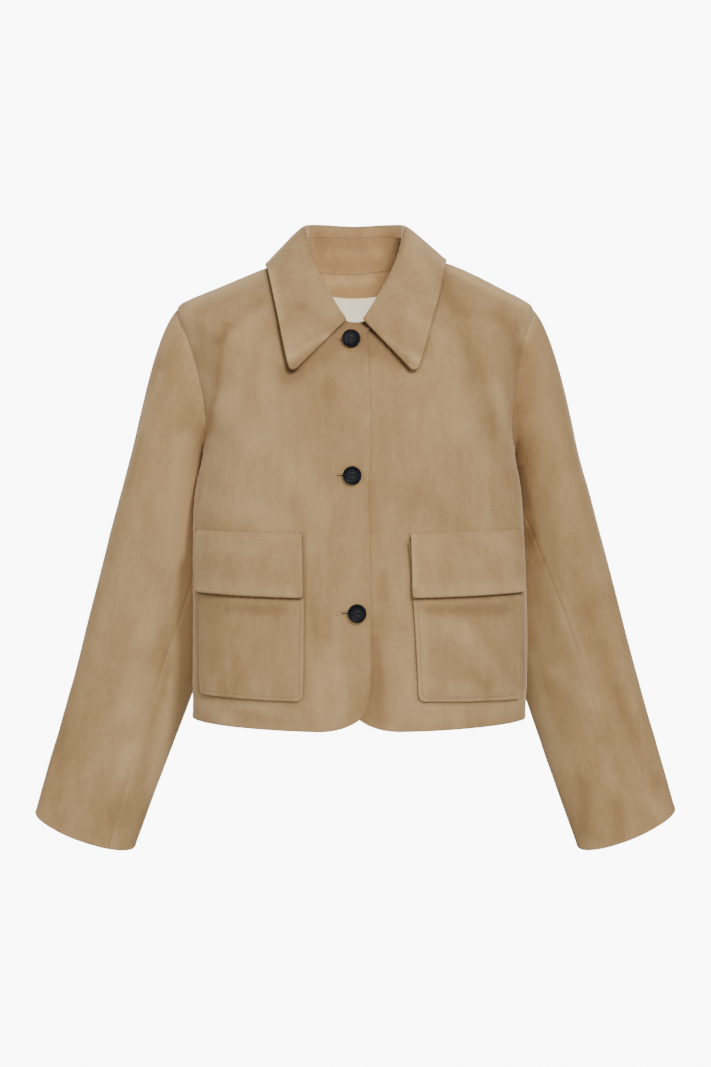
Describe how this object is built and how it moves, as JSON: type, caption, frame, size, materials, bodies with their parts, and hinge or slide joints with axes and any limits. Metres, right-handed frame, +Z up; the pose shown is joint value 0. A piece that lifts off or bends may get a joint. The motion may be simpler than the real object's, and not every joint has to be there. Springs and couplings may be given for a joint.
{
  "type": "suede jacket",
  "caption": "Cropped tan suede jacket, filled out as worn, with a pointed collar, long plain sleeves, flapped patch pockets and a buttoned front.",
  "frame": {"origin": "the middle of the neck base, level with the highest points of the shoulders, where the jacket hangs on a wearer, a dress form or a hanger", "axes": "+X is the wearer's left, the front faces -Y and +Z is up"},
  "size_m": [0.7409, 0.238, 0.7235],
  "materials": {
    "suede": "napped suede, matt",
    "lining": "smooth woven lining, satin",
    "button": "polished horn-like"
  },
  "bodies": {
    "root": {"back": "suede", "back_neck_facing": "suede", "collar_fall": "suede", "collar_stand": "suede", "flap_left": "suede", "flap_right": "suede", "front_left": "suede", "front_right": "suede", "pocket_left": "suede", "pocket_right": "suede", "topsleeve_left": "suede", "topsleeve_right": "suede", "undersleeve_left": "suede", "undersleeve_right": "suede", "back_lining": "lining", "button_1": "button", "button_2": "button", "button_3": "button"}
  },
  "joints": []
}
